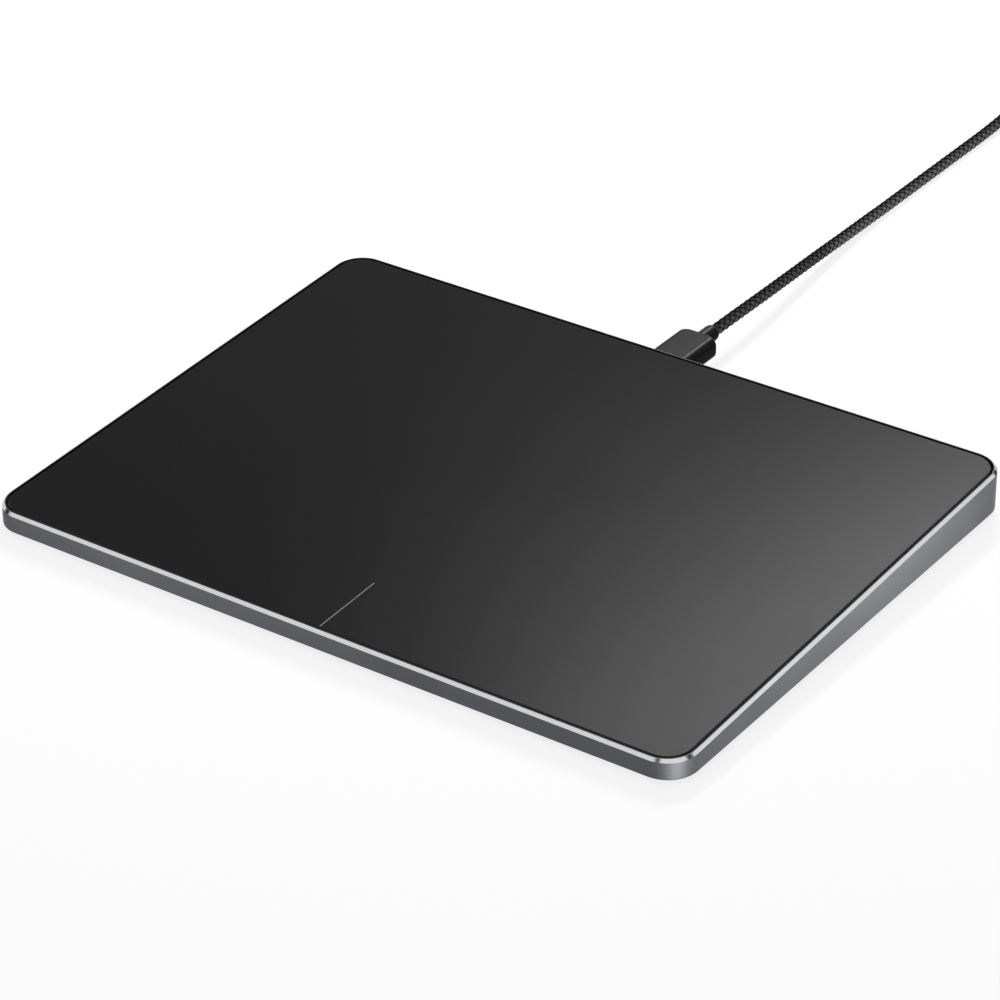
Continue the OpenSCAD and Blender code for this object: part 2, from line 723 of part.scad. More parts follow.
module main_board() color("#1f5f3a") difference() {
    translate([-main_w / 2, main_front, main_top - main_t]) cube([main_w, main_d, main_t]);
    for (x = [-post_x, post_x]) translate([x, post_y, main_top - main_t - cut])
        cylinder(d = small_screw_d + easy, h = main_t + 2 * cut);
}

module board_screws() color("#b9bbbf") for (x = [-post_x, post_x])
    translate([x, post_y, main_top]) mirror([0, 0, 1]) small_screw(main_t + post_bite);

// A part on the main board, with its spot measured from the line of the posts
module on_board(spot, size)
    translate([spot[0] - size[0] / 2, post_y + spot[1] - size[1] / 2, main_top]) cube(size);

module control_chip() color("#202022") on_board(control_spot, control_size);

module board_parts() color("#8a7a5c") {
    on_board(coil_part_spot, coil_part_size);
    for (i = [0 : 4]) on_board([row_spot[0] + i * row_pitch, row_spot[1]], row_part_size);
}

module board_connector() color("#e6e2d6") difference() {
    on_board([0, ribbon_y - post_y], [connector_w, connector_d, connector_h]);
    ribbon_slot(ribbon_low);
}

// The ribbon leaves both connectors forwards and turns back on itself
module ribbon_cable() color("#d9d9d2") rotate([90, 0, 90]) linear_extrude(ribbon_w, center = true) {
    tip_y = ribbon_y - slot_end - easy;
    for (z = [ribbon_low, ribbon_high]) translate([ribbon_bend_y, z - ribbon_t / 2])
        square([tip_y - ribbon_bend_y, ribbon_t]);
    intersection() {
        translate([ribbon_bend_y, ribbon_low + ribbon_r]) difference() {
            circle(ribbon_r + ribbon_t / 2);
            circle(ribbon_r - ribbon_t / 2);
        }
        translate([ribbon_bend_y - 2 * ribbon_r, ribbon_low - ribbon_t])
            square([2 * ribbon_r, 2 * (ribbon_r + ribbon_t)]);
    }
}

module port_hollow() slot_sheet(port_w - 2 * port_t, port_h - 2 * port_t);

module usb_port() color("#c4c6ca") bar(port_back, port_back + port_d, port_z) difference() {
    slot_sheet(port_w, port_h);
    port_hollow();
}

module port_tongue() color("#1b1b1d") {
    bar(port_back, port_back + port_block_d, port_z) port_hollow();
    bar(port_back + port_block_d - eps, back_y - port_wall - port_blade_gap, port_z)
        square(port_blade, center = true);
}

// Cable

module plug_shell() color("#c4c6ca")
    bar(plug_front - tongue_len, plug_front + seat_d, port_z) difference() {
        slot_sheet(tongue_w, tongue_h);
        slot_sheet(tongue_w - 2 * tongue_t, tongue_h - 2 * tongue_t);
    }

module plug_body() color("#3b3c3f") difference() {
    intersection() {
        bar(plug_front, plug_back, port_z) rounded_sheet(plug_w, plug_h, plug_r);
        translate([0, plug_front, port_z]) linear_extrude(2 * plug_h, center = true)
            rounded_sheet(plug_w, 2 * plug_len, plug_corner_r);
    }
    bar(plug_front - cut, plug_front + seat_d, port_z) slot_sheet(tongue_w, tongue_h);
}

// A round collar with a softened outer end, along +Y
module round_collar(d, len) rotate([-90, 0, 0]) rotate_extrude() {
    square([d / 2, len - collar_soft]);
    square([d / 2 - collar_soft, len]);
    translate([d / 2 - collar_soft, len - collar_soft]) intersection() {
        circle(collar_soft);
        square(collar_soft);
    }
}

module plug_collar() color("#2a2a2c") translate([0, plug_back, port_z])
    round_collar(collar_d, collar_len);

module cord_run() color("#2c2c2e") cord_tube(cord_points, run_sides);

module cord_coil() color("#2c2c2e") cord_tube(coil_points, coil_sides);

// Straps round the bundle of loops, which stands on them
module coil_ties() color("#1b1b1d") {
    room = cord_d / 2 + tie_room;
    inner = coil_outer_r - coil_pitch * loops_per_layer - room - loose;
    span = coil_outer_r + room - inner;
    low = coil_z - cord_d / 2;
    height = coil_top + room - low;
    for (a = tie_angles) translate([coil_x, coil_y, 0]) rotate([0, 0, a])
        translate([inner + span / 2, tie_w / 2, low + height / 2]) rotate([90, 0, 0])
            linear_extrude(tie_w) difference() {
                rounded_sheet(span + 2 * tie_t, height + 2 * tie_t, tie_t + loose);
                rounded_sheet(span, height, loose);
            }
}

module along_tail() translate([coil_last[0], coil_last[1], 0]) rotate([0, 0, leave_angle + 180])
    children();

module cord_tail() color("#2c2c2e") along_tail() cord_tube(tail_points, run_sides);

module end_collar() color("#2a2a2c") along_tail() translate([0, end_body_y, end_z])
    mirror([0, 1, 0]) round_collar(end_collar_d, end_collar_len);

module end_body() color("#3b3c3f") along_tail() difference() {
    intersection() {
        bar(end_body_y, end_nose_y, end_z) rounded_sheet(end_body_w, end_body_h, end_edge_r);
        translate([0, end_nose_y, 0]) linear_extrude(3 * end_body_h, center = true)
            rounded_sheet(end_body_w, 2 * end_body_len, end_corner_r);
    }
    bar(end_nose_y - seat_d, end_nose_y + cut, end_z) square([end_shell_w, end_shell_h], center = true);
}

module end_shell() color("#c4c6ca") along_tail() difference() {
    bar(end_nose_y - seat_d, end_nose_y + end_shell_len, end_z) difference() {
        rounded_sheet(end_shell_w, end_shell_h, end_fold_r);
        square([end_shell_w - 2 * end_shell_t, end_shell_h - 2 * end_shell_t], center = true);
    }
    for (x = [-1, 1], z = [-1, 1])
        translate([x * end_shell_w / 4, end_nose_y + end_shell_len - end_window_y,
            end_z + z * end_shell_h / 2])
            cube([end_window[0], end_window[1], 4 * end_shell_t], center = true);
}

module end_tongue() color("#e9e9e6") along_tail()
    translate([end_shell_t - end_shell_w / 2, end_nose_y - seat_d, end_z - end_shell_h / 2 + end_shell_t])
        cube([end_shell_w - 2 * end_shell_t, end_shell_len + seat_d - 2 * end_shell_t, end_tongue_t]);

housing();
bottom_cover();
rubber_feet();
cover_screws();
touch_glass();
divider_line();
bond_film();
sensor_board();
pad_carrier();
touch_chip();
sensor_parts();
sensor_connector();
switch_case();
switch_plunger();
hinge_leaves();
hinge_screws();
carrier_screws();
main_board();
board_screws();
control_chip();
board_parts();
board_connector();
ribbon_cable();
usb_port();
port_tongue();
plug_shell();
plug_body();
plug_collar();
cord_run();
cord_coil();
coil_ties();
cord_tail();
end_collar();
end_body();
end_shell();
end_tongue();
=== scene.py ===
# %% [markdown]
# A wired desk trackpad, dressed for the camera.
# The construction model already holds every piece at its true size, so this lesson adds what
# that model leaves out: soft edges, finishes, a woven cord, light and a camera.
# All lengths are metres. X runs to the user's right, Y away from the user, Z up from the desk.

# %% Load the construction model
import json
import math

import bmesh
import bpy
from mathutils import Matrix, Vector

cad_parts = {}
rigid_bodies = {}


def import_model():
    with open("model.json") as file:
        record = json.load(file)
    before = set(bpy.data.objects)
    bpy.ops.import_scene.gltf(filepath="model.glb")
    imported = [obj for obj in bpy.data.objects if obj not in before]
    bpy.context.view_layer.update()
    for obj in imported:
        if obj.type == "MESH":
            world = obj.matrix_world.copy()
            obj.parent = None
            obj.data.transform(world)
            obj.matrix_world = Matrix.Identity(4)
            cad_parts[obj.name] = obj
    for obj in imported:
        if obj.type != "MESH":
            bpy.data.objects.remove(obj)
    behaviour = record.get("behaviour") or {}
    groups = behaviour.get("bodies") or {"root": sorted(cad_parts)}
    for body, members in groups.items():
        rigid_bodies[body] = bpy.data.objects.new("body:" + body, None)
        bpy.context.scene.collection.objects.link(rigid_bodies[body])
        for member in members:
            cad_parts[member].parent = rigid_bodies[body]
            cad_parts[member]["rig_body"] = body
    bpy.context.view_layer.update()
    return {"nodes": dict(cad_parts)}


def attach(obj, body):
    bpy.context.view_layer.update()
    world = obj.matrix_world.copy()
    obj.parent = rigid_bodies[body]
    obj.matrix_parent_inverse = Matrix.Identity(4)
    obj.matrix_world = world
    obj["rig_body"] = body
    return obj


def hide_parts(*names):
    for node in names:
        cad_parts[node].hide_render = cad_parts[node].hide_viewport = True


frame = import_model()
nodes = frame["nodes"]

# %% [markdown]
# The camera stands in front and to the right of the pad and looks down at it through a long
# lens, which keeps the far edge almost as wide as the near one. A look-at constraint would be
# quicker, but writing the three axes out lets the picture be tipped by a third of a degree too.

# %% Camera
azimuth, elevation, tip = (math.radians(a) for a in (35.03, 30.80, -0.35))
forward = Vector((-math.sin(azimuth) * math.cos(elevation),
                  math.cos(azimuth) * math.cos(elevation), -math.sin(elevation)))
level_right = forward.cross(Vector((0, 0, 1))).normalized()
level_up = level_right.cross(forward)
right = level_right * math.cos(tip) + level_up * math.sin(tip)
up = level_up * math.cos(tip) - level_right * math.sin(tip)

camera_data = bpy.data.cameras.new("photo_camera")
camera_data.sensor_width = 36
camera_data.lens = 143.78
camera_data.clip_start = 0.01
camera = bpy.data.objects.new("photo_camera", camera_data)
camera.matrix_world = Matrix((right, up, -forward)).transposed().to_4x4()
camera.location = (0.386124, -0.550783, 0.404801)
bpy.context.collection.objects.link(camera)
bpy.context.scene.camera = camera
print("camera lens:", camera_data.lens, "mm")

# %% [markdown]
# The cord is one and a half metres of braided cable. It leaves the plug straight, sinks to the
# desk under its own weight and runs back to a tied coil, where the rest of it is put away, and a
# short tail ends in the second plug. First comes the free run, as listed points: sideways,
# behind the back wall, and up. A simulated drop would give much the same line, but a short run
# that is seen this closely is easier to fit one by one.

# %% Free run of the cord
BACK_WALL = 0.060
run_route = [(0, 0.0182, 0.0064), (0, 0.0237, 0.0064), (-0.0002, 0.033, 0.0061),
             (-0.0006, 0.041, 0.0056), (-0.0012, 0.049, 0.00495), (-0.0019, 0.057, 0.0042),
             (-0.0026, 0.065, 0.00345), (-0.0032, 0.073, 0.00275), (-0.0037, 0.081, 0.00215),
             (-0.0041, 0.089, 0.0017), (-0.0043, 0.097, 0.0014), (-0.0044, 0.104, 0.0013),
             (-0.0044, 0.111, 0.0013), (-0.0044, 0.118, 0.0013), (-0.0044, 0.125, 0.0013),
             (-0.0044, 0.132, 0.0013), (-0.0044, 0.139, 0.0013), (-0.0044, 0.146, 0.0014),
             (-0.0044, 0.153, 0.0017), (-0.0044, 0.159, 0.002), (-0.0044, 0.164, 0.0021),
             (-0.0044, 0.1675, 0.0021)]
run_points = [Vector((x, BACK_WALL + behind, z)) for x, behind, z in run_route]
print("run points:", len(run_points))

# %% [markdown]
# The spare cord is wound in and out over four layers, like thread on a bobbin. One number, the
# turns made so far, gives the radius, the angle and the layer of a point, and the line eases up
# to the next layer over half a turn, so the coil never jumps. The tail leaves the coil straight
# and sinks to the height of the end plug.

# %% Coil and tail
CORD_WIDTH = 0.0025
COIL_RADIUS, COIL_PITCH, COIL_RISE = 0.0206, 0.003, 0.00295
COIL_LOOPS, COIL_LAYERS = 13.375, 4
LAYER_LOOPS = COIL_LOOPS / COIL_LAYERS
coil_start = run_points[-1]
coil_center = Vector((coil_start.x + COIL_RADIUS, coil_start.y + CORD_WIDTH, 0))


def ease(t):
    t = min(1, max(0, t))
    return t * t * (3 - 2 * t)


def coil_point(turns):
    layer = turns / LAYER_LOOPS
    inward = 1 - abs(1 - layer % 2)
    lift = sum(ease((turns - k * LAYER_LOOPS) / 0.5 + 0.5) for k in range(1, COIL_LAYERS))
    radius = COIL_RADIUS - inward * COIL_PITCH * LAYER_LOOPS
    angle = math.pi - 2 * math.pi * turns
    return coil_center + Vector((radius * math.cos(angle), radius * math.sin(angle),
                                 coil_start.z + COIL_RISE * lift))


coil_points = [coil_point(i / 24) for i in range(round(COIL_LOOPS * 24) + 1)]
coil_end = coil_points[-1]
tail_way = Vector((math.sqrt(0.5), -math.sqrt(0.5), 0))
tail_route = [(0.0025, 0.01095), (0.006, 0.01085), (0.011, 0.010), (0.016, 0.0086), (0.021, 0.007),
              (0.026, 0.0055), (0.031, 0.0044), (0.036, 0.0038), (0.040, 0.0038)]
tail_points = [Vector((coil_end.x, coil_end.y, z)) + tail_way * along for along, z in tail_route]
print("coil turns:", COIL_LOOPS, "in", COIL_LAYERS, "layers")

# %% [markdown]
# Listed points stand at uneven distances, which would stretch the weave. A Catmull-Rom curve
# passes through all of them, and new points are laid along it at even steps, four to a strand.

# %% Even spacing


def smooth_line(points, step):
    """Points a step apart along a Catmull-Rom curve through the given ones."""
    fine = []
    for i in range(len(points) - 1):
        p0, p1, p2 = points[max(i - 1, 0)], points[i], points[i + 1]
        p3 = points[min(i + 2, len(points) - 1)]
        for k in range(8):
            t = k / 8
            fine.append(0.5 * (2 * p1 + (p2 - p0) * t + (2 * p0 - 5 * p1 + 4 * p2 - p3) * t * t
                               + (3 * p1 - p0 - 3 * p2 + p3) * t ** 3))
    fine.append(points[-1])
    way = [0.0]
    for a, b in zip(fine, fine[1:]):
        way.append(way[-1] + (b - a).length)
    count = round(way[-1] / step)
    line, j = [], 0
    for i in range(count + 1):
        s = way[-1] * i / count
        while j < len(way) - 2 and way[j + 1] < s:
            j += 1
        line.append(fine[j].lerp(fine[j + 1], (s - way[j]) / (way[j + 1] - way[j])))
    return line, way[-1]


STRAND_STEP = 0.0021
cord_line, cord_length = smooth_line(run_points + coil_points + tail_points, STRAND_STEP / 4)
print("cord length:", round(cord_length, 4), "m in", len(cord_line), "rings")

# %% [markdown]
# The cord's jacket is a braid: flat strands of yarn wind around it both ways and pass over and
# under each other. Counted in strands along and around, each crossing is one cell of a slanted
# grid, and in every other cell the other set lies on top. A half sine across and along the cell
# is the strand's round back.

# %% Weave


def half_sine(value):
    return math.sin(math.pi * (value % 1))


def strand_back(along, around):
    """Height of the weave, 0 in a groove to 1 on a strand, at counts of strands."""
    lead, lag = along + around, along - around
    if (math.floor(lead) + math.floor(lag)) % 2:
        lead, lag = lag, lead
    return half_sine(lead) * (0.45 + 0.55 * half_sine(lag))


print("weave at a crossing:", round(strand_back(0.5, 0), 2))

# %% [markdown]
# A tube is swept along the line. Each ring is turned as little as possible from the one before it,
# so the weave doesn't twist on its own. From groove to strand the surface rises by a sixth of a
# millimetre, so the weave is there in the mesh and not only in the finish.

# %% Cord
CORD_SIDES = 24
STRANDS_AROUND = 4
STRAND_RISE = 0.00016


def add_mesh(name, verts, faces, body=None):
    mesh = bpy.data.meshes.new(name)
    mesh.from_pydata([tuple(v) for v in verts], [], faces)
    mesh.validate()
    mesh.polygons.foreach_set("use_smooth", [True] * len(mesh.polygons))
    piece = bpy.data.objects.new(name, mesh)
    bpy.context.collection.objects.link(piece)
    if body:
        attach(piece, body)
    return piece


def sweep_braid(name, line, step, sides, body):
    verts, faces = [], []
    side = Vector((1, 0, 0))
    for i, p in enumerate(line):
        heading = (line[min(i + 1, len(line) - 1)] - line[max(i - 1, 0)]).normalized()
        side = (side - heading * side.dot(heading)).normalized()
        other = heading.cross(side)
        for k in range(sides):
            a = 2 * math.pi * k / sides
            weave = strand_back(i * step / STRAND_STEP, STRANDS_AROUND * k / sides)
            radius = CORD_WIDTH / 2 + STRAND_RISE * (weave - 0.6)
            verts.append(p + radius * (math.cos(a) * side + math.sin(a) * other))
    for i in range(len(line) - 1):
        for k in range(sides):
            a, b = i * sides + k, i * sides + (k + 1) % sides
            faces.append((a, b, b + sides, a + sides))
    faces.append(tuple(reversed(range(sides))))
    faces.append(tuple(range((len(line) - 1) * sides, len(line) * sides)))
    return add_mesh(name, verts, faces, body)


ring_step = cord_length / (len(cord_line) - 1)
cord = sweep_braid("braided_cord", cord_line, ring_step, CORD_SIDES, "cable")
print("cord faces:", len(cord.data.polygons))

# %% [markdown]
# A surface map lets the finish follow the relief. It counts in strands, as the weave does. The
# last face of each ring closes the circle, so there the count runs up to a full turn, not back
# to nought. The cord takes the place of the three plain solids in the construction model.

# %% Surface map of the cord
weave_map = cord.data.uv_layers.new(name="weave")
for face in cord.data.polygons:
    columns = [cord.data.loops[i].vertex_index % CORD_SIDES for i in face.loop_indices]
    wraps = len(columns) == 4 and max(columns) - min(columns) > 1
    for i, k in zip(face.loop_indices, columns):
        ring = cord.data.loops[i].vertex_index // CORD_SIDES
        around = 1.0 if wraps and k == 0 else k / CORD_SIDES
        weave_map.data[i].uv = (ring * ring_step / STRAND_STEP, around * STRANDS_AROUND)
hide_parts("cord_run", "cord_coil", "cord_tail")
print("mapped corners:", len(weave_map.data))

# %% [markdown]
# Every finish below is a node material. These small helpers keep the node work readable: one
# makes the material, one adds a node with its inputs, one does sums, and one feeds a result into
# the shader.

# %% Helpers for nodes


def finish(name, color, rough, metal=0.0, specular=0.5):
    mat = bpy.data.materials.new(name)
    mat.use_nodes = True
    shader = mat.node_tree.nodes["Principled BSDF"]
    shader.inputs["Base Color"].default_value = (*color, 1)
    shader.inputs["Roughness"].default_value = rough
    shader.inputs["Metallic"].default_value = metal
    shader.inputs["Specular IOR Level"].default_value = specular
    return mat


def put(mat, kind, **inputs):
    made = mat.node_tree.nodes.new("ShaderNode" + kind)
    for key, value in inputs.items():
        socket = made.inputs[key.replace("_", " ")]
        if isinstance(value, bpy.types.NodeSocket):
            mat.node_tree.links.new(value, socket)
        else:
            socket.default_value = value
    return made


def calc(mat, operation, *values):
    made = mat.node_tree.nodes.new("ShaderNodeMath")
    made.operation = operation
    for socket, value in zip(made.inputs, values):
        if isinstance(value, bpy.types.NodeSocket):
            mat.node_tree.links.new(value, socket)
        else:
            socket.default_value = value
    return made.outputs[0]


def drive(mat, socket_name, output):
    mat.node_tree.links.new(output, mat.node_tree.nodes["Principled BSDF"].inputs[socket_name])


print("node helpers ready")

# %% [markdown]
# No real surface is one flat value, so each finish is varied by a grey pattern, mostly a noise. The
# pattern sits in the piece's own coordinates and stays with it when it moves. It is spread over
# the range that the finish needs and then used as colour, as roughness or as small bumps.

# %% Helpers for patterns


def place(mat):
    return put(mat, "TexCoord").outputs["Object"]


def grain(mat, scale, detail=2.0, at=None):
    return put(mat, "TexNoise", Vector=at or place(mat), Scale=scale, Detail=detail).outputs["Fac"]


def spread(mat, pattern, low, high):
    return put(mat, "MapRange", Value=pattern, From_Min=0.3, From_Max=0.7, To_Min=low,
               To_Max=high).outputs["Result"]


def tint(mat, pattern, dark, light):
    ramp = put(mat, "ValToRGB", Fac=pattern)
    ramp.color_ramp.elements[0].color = (*dark, 1)
    ramp.color_ramp.elements[1].color = (*light, 1)
    drive(mat, "Base Color", ramp.outputs["Color"])
    return ramp


def bumps(mat, pattern, depth, strength=1.0):
    made = put(mat, "Bump", Height=pattern, Distance=depth, Strength=strength)
    drive(mat, "Normal", made.outputs["Normal"])


def wear(piece, *finishes):
    piece.data.materials.clear()
    for mat in finishes:
        piece.data.materials.append(mat)


print("pattern helpers ready")

# %% [markdown]
# The braid's finish repeats the same sums as nodes on the cord's surface map, so that the colour
# fits the relief: the grooves are painted nearly black, painted shade for the shadow that the real
# braid traps there, and each strand is painted darker between the fine yarns that it is made of,
# thin lines of painted shade along its length.

# %% Braid
YARNS = 6
braid = finish("black_braid", (0.02, 0.02, 0.0208), 0.6, specular=0.0)
counts = put(braid, "SeparateXYZ", Vector=put(braid, "UVMap").outputs["UV"])
lead = calc(braid, "ADD", counts.outputs["X"], counts.outputs["Y"])
lag = calc(braid, "SUBTRACT", counts.outputs["X"], counts.outputs["Y"])


def half_wave(mat, value):
    return calc(mat, "SINE", calc(mat, "MULTIPLY", calc(mat, "FRACT", value), math.pi))


cell = calc(braid, "ADD", calc(braid, "FLOOR", lead), calc(braid, "FLOOR", lag))
on_top = calc(braid, "MODULO", calc(braid, "ABSOLUTE", cell), 2.0)
lead_back = calc(braid, "MULTIPLY", half_wave(braid, lead),
                 calc(braid, "MULTIPLY_ADD", half_wave(braid, lag), 0.55, 0.45))
lag_back = calc(braid, "MULTIPLY", half_wave(braid, lag),
                calc(braid, "MULTIPLY_ADD", half_wave(braid, lead), 0.55, 0.45))
strand_height = put(braid, "Mix", Factor=on_top, A=lead_back, B=lag_back).outputs["Result"]
across = put(braid, "Mix", Factor=on_top, A=lead, B=lag).outputs["Result"]
yarn = half_wave(braid, calc(braid, "MULTIPLY", across, float(YARNS)))
fibre = grain(braid, 6000, 3)
lit = calc(braid, "MULTIPLY", calc(braid, "MULTIPLY_ADD", yarn, 0.35, 0.65),
           calc(braid, "MULTIPLY_ADD", fibre, 0.8, 0.6))
# Painted shade: the colour follows the strand height and the yarn lines, so grooves and creases
# come out dark.
tint(braid, calc(braid, "MULTIPLY", strand_height, lit),
     (0.0004, 0.0004, 0.0004), (0.05, 0.05, 0.052))
bumps(braid, calc(braid, "MULTIPLY_ADD", yarn, 0.3, strand_height), 0.00016)
wear(cord, braid)
print("braid strands around:", 2 * STRANDS_AROUND)

# %% [markdown]
# The construction model has knife-sharp edges, and nothing real does. A copy of such a piece is
# welded, its flat faces are merged, and a Bevel modifier rounds each sharp edge by a fraction of
# a millimetre, so that edges catch light. Rebuilding each piece by hand would give the same form
# with more work, and the copy is certain to lie where the mechanism needs it.

# %% Softened copies
EASED_EDGE = 0.00028
FLAT_FACE_WEIGHT = 80


def softened(node, name, radius, segments=2, angle=35, eased=None):
    mesh = nodes[node].data.copy()
    work = bmesh.new()
    work.from_mesh(mesh)
    bmesh.ops.remove_doubles(work, verts=work.verts, dist=2e-6)
    bmesh.ops.dissolve_limit(work, angle_limit=math.radians(0.4), verts=work.verts,
                             edges=work.edges)
    if eased:
        bmesh.ops.bevel(work, geom=[e for e in work.edges if eased(e)], offset=EASED_EDGE,
                        offset_type="OFFSET", segments=3, profile=0.5, affect="EDGES")
    work.to_mesh(mesh)
    work.free()
    if mesh.attributes.get("custom_normal"):
        mesh.attributes.remove(mesh.attributes["custom_normal"])
    mesh.name = name
    mesh.polygons.foreach_set("use_smooth", [True] * len(mesh.polygons))
    piece = bpy.data.objects.new(name, mesh)
    bpy.context.collection.objects.link(piece)
    bevel = piece.modifiers.new("soft_edges", "BEVEL")
    bevel.width = radius
    bevel.segments = segments
    bevel.limit_method = "ANGLE"
    bevel.angle_limit = math.radians(angle)
    bevel.harden_normals = True
    shade = piece.modifiers.new("even_shading", "WEIGHTED_NORMAL")
    shade.keep_sharp = True
    shade.weight = FLAT_FACE_WEIGHT
    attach(piece, nodes[node]["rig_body"])
    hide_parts(node)
    return piece


print("soft edge helper ready")

# %% [markdown]
# The frame and the plate are softened first. The frame's outer lower edge, where fingers lift the
# pad, is rounded more than the rest. All rounded edges of the frame take its first finish, the
# anodised one: a chamfer is cut with crisp borders, so its brightness must not run round them.

# %% Frame and plate
UNDERSIDE = 0.00101
CORNER_X, CORNER_Y, RIM_FROM = 0.0735, 0.0535, 0.0064


def lower_rim(edge):
    """True for the outer edge of the frame's underside, which is rounded more than the rest."""
    return all(v.co.z < UNDERSIDE and
               math.hypot(max(abs(v.co.x) - CORNER_X, 0), max(abs(v.co.y) - CORNER_Y, 0)) > RIM_FROM
               for v in edge.verts)


housing = softened("housing", "aluminium_frame", 0.00006, eased=lower_rim)
housing.modifiers["soft_edges"].material = 0
plate = softened("touch_glass", "glass_plate", 0.00005)
print("softened faces:", len(housing.data.polygons), len(plate.data.polygons))

# %% [markdown]
# The frame is milled from aluminium, blasted with fine beads and anodised dark grey, which gives
# a metal with a soft, slightly grainy reflection. After anodising, a cutter runs round the deck
# and leaves a bright chamfer. That cut is its own finish, so the faces that lean halfway between
# the deck and the walls are picked out by their normals. The rounded lower edge gets a darker
# grey, which is painted shade: it stands in for the dark contact shadow under the pad that this
# edge would mirror.

# %% Frame finishes
anodised = finish("anodised_grey", (0.0565, 0.0576, 0.0622), 0.5, metal=1.0)
blast = grain(anodised, 5200, 3)
tint(anodised, spread(anodised, grain(anodised, 60), 0, 1),
     (0.053, 0.054, 0.0583), (0.06, 0.0611, 0.066))
drive(anodised, "Roughness", spread(anodised, blast, 0.46, 0.54))
bumps(anodised, blast, 0.000012)

bright_cut = finish("bright_cut", (0.62, 0.62, 0.63), 0.17, metal=1.0)
tool_marks = grain(bright_cut, 2600, 2)
drive(bright_cut, "Roughness", spread(bright_cut, tool_marks, 0.13, 0.2))
bumps(bright_cut, tool_marks, 0.000004)

# Painted shade: a darker grey for the rounded lower edge, in place of the contact shadow it would
# mirror.
painted_shade_rim = finish("rim_painted_shade", (0.045, 0.046, 0.05), 0.5, metal=1.0)
rim_mottle = grain(painted_shade_rim, 900, 3)
tint(painted_shade_rim, spread(painted_shade_rim, rim_mottle, 0, 1), (0.04, 0.041, 0.045), (0.05, 0.051, 0.055))
bumps(painted_shade_rim, grain(painted_shade_rim, 5200, 3), 0.000012)

FRONT_WALL, REAR_WALL, FRAME_DEPTH = 0.00425, 0.009, 0.120
SLOPE = math.atan((REAR_WALL - FRONT_WALL) / FRAME_DEPTH)
deck_middle = Vector((0, 0, 0.007625))
deck_up = Vector((0, -math.sin(SLOPE), math.cos(SLOPE)))
# The third finish is the painted shade of the rounded lower edge.
wear(housing, anodised, bright_cut, painted_shade_rim)
cut_faces = rim_faces = 0
for face in housing.data.polygons:
    height = (face.center - deck_middle).dot(deck_up)
    if 0.6 < face.normal.dot(deck_up) < 0.8 and height > -0.0008:
        face.material_index = 1
        cut_faces += 1
    elif face.center.z < 0.001 + EASED_EDGE and -0.97 < face.normal.z < -0.05:
        face.material_index = 2
        rim_faces += 1
print("bright cut faces:", cut_faces, "rim faces:", rim_faces)

# %% [markdown]
# The plate is black glass, etched so that a finger slides over it. Etched glass scatters its
# reflection, so it looks satin and not mirror-like, with a fine sparkle of pits. Its ground edge
# is left darker. The printed line near the front marks the two click zones and is plain pale ink.

# %% Plate finishes
etched = finish("etched_black_glass", (0.0035, 0.0035, 0.0036), 0.3, specular=0.032)
pits = grain(etched, 3800, 3)
tint(etched, spread(etched, pits, 0, 1), (0.002, 0.002, 0.0021), (0.005, 0.005, 0.0051))
wiped = calc(etched, "MULTIPLY", grain(etched, 35), 0.4)
uneven = calc(etched, "ADD", calc(etched, "MULTIPLY", pits, 0.6), wiped)
drive(etched, "Roughness", spread(etched, uneven, 0.275, 0.325))
bumps(etched, pits, 0.000008)

ground_edge = finish("ground_glass_edge", (0.004, 0.004, 0.004), 0.25, specular=0.2)
drive(ground_edge, "Roughness", spread(ground_edge, grain(ground_edge, 2500), 0.2, 0.32))

wear(plate, etched, ground_edge)
for face in plate.data.polygons:
    face.material_index = 0 if face.normal.dot(deck_up) > 0.95 else 1

ink = finish("pale_ink", (0.2, 0.2, 0.204), 0.6, specular=0.2)
tint(ink, grain(ink, 4000), (0.17, 0.17, 0.1735), (0.23, 0.23, 0.2345))
wear(nodes["divider_line"], ink)
print("plate faces:", len(plate.data.polygons))

# %% [markdown]
# Small mouldings are lofted: rings of points, with the same count in each, are set along the piece
# and skinned. A ring here is a rounded rectangle, and the first and last rings shrink a little, so
# the ends come out softened. It takes fewer faces than carving the same form from a block.

# %% Rings and lofts


def rounded_ring(width, height, radius, steps=6):
    ring = []
    for quarter, (sx, sz) in enumerate([(1, 1), (-1, 1), (-1, -1), (1, -1)]):
        for k in range(steps + 1):
            a = math.pi / 2 * (quarter + k / steps)
            ring.append((sx * (width / 2 - radius) + radius * math.cos(a),
                         sz * (height / 2 - radius) + radius * math.sin(a)))
    return ring


def loft(name, rings, body, turn=Matrix.Identity(4)):
    """Rings are lists of points with the same count, first to last along the piece."""
    count = len(rings[0])
    verts = [turn @ Vector(p) for ring in rings for p in ring]
    faces = [(i * count + k, (i + 1) * count + k, (i + 1) * count + (k + 1) % count,
              i * count + (k + 1) % count) for i in range(len(rings) - 1) for k in range(count)]
    faces.append(tuple(range(count)))
    faces.append(tuple(reversed(range((len(rings) - 1) * count, len(rings) * count))))
    piece = add_mesh(name, verts, faces, body)
    shade = piece.modifiers.new("even_shading", "WEIGHTED_NORMAL")
    shade.weight = FLAT_FACE_WEIGHT
    return piece


